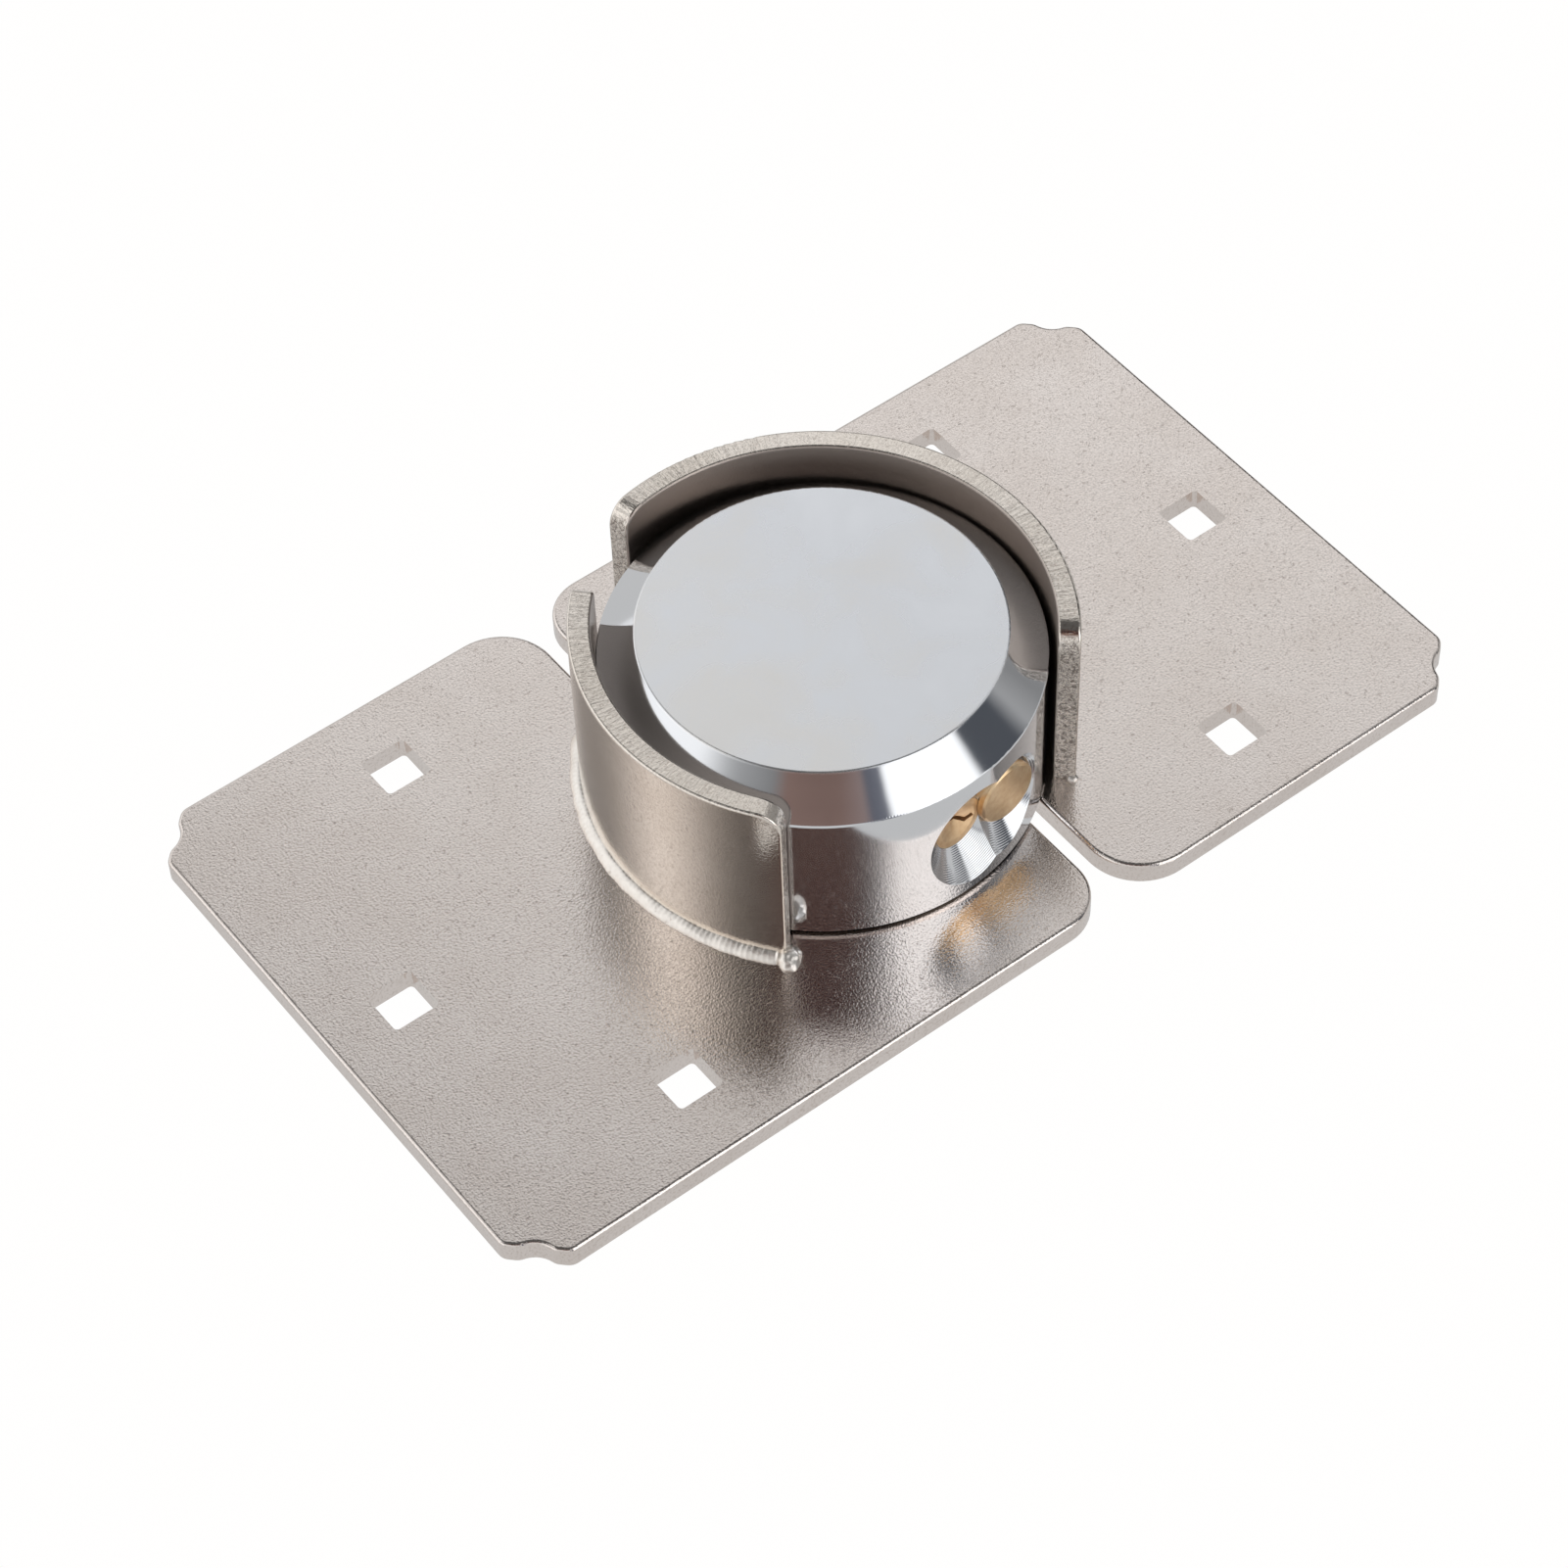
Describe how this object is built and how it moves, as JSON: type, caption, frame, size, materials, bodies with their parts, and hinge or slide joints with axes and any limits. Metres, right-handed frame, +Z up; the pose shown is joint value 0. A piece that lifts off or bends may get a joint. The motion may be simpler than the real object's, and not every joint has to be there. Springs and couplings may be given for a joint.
{
  "type": "hasp and padlock",
  "caption": "Round closed-shackle padlock on a welded two-leaf plate hasp, with curved guards, square bolt holes, a key plug and a sliding bolt.",
  "frame": {"origin": "middle of the closed hasp, on the underside of its leaves", "axes": "+X along the hasp to the right leaf, +Z up from the leaves to the padlock's top, keyhole towards -Y"},
  "size_m": [0.1944, 0.11, 0.0398],
  "materials": {
    "nickel_plate": "nickel plated hot rolled plate, pebbled",
    "nickel_strip": "nickel plated rolled strip, glossy with shear marks on its edges",
    "weld_metal": "plated weld bead, rippled and glossy",
    "lock_chrome": "chrome plated steel, polished wall and satin top",
    "plug_brass": "turned brass",
    "hard_steel": "hardened steel, ground",
    "spring_steel": "bright spring wire"
  },
  "bodies": {
    "hasp": {"left_leaf": "nickel_plate", "left_guard": "nickel_strip", "left_guard_weld": "weld_metal", "left_staple": "nickel_strip", "left_staple_weld": "weld_metal", "right_leaf": "nickel_plate", "right_guard": "nickel_strip", "right_guard_weld": "weld_metal", "right_staple": "nickel_strip", "right_staple_weld": "weld_metal", "padlock_body": "lock_chrome", "bolt_spring": "spring_steel", "bolt_stop_pin": "hard_steel", "mechanism_cover": "hard_steel", "cover_screws": "hard_steel"},
    "plug": {"key_plug": "plug_brass", "wafers": "plug_brass", "wafer_springs": "spring_steel", "cam": "hard_steel", "cam_clip": "spring_steel"},
    "bolt": {"bolt": "hard_steel", "bolt_cap": "plug_brass"}
  },
  "joints": [
    {"name": "key_turn", "type": "hinge", "parent": "hasp", "child": "plug", "pos_m": [0.00175, -0.03561, 0.0177], "axis": [-0.1132, 0.9936, 0], "range_deg": [0, 180]},
    {"name": "bolt_slide", "type": "slide", "parent": "hasp", "child": "bolt", "axis": [0.1132, -0.9936, 0], "range_m": [0, 0.024], "deforming": ["bolt_spring"]}
  ],
  "couplings": [
    {"joint": "key_turn", "follows": "bolt_slide", "rad_per_m": 130.89}
  ]
}
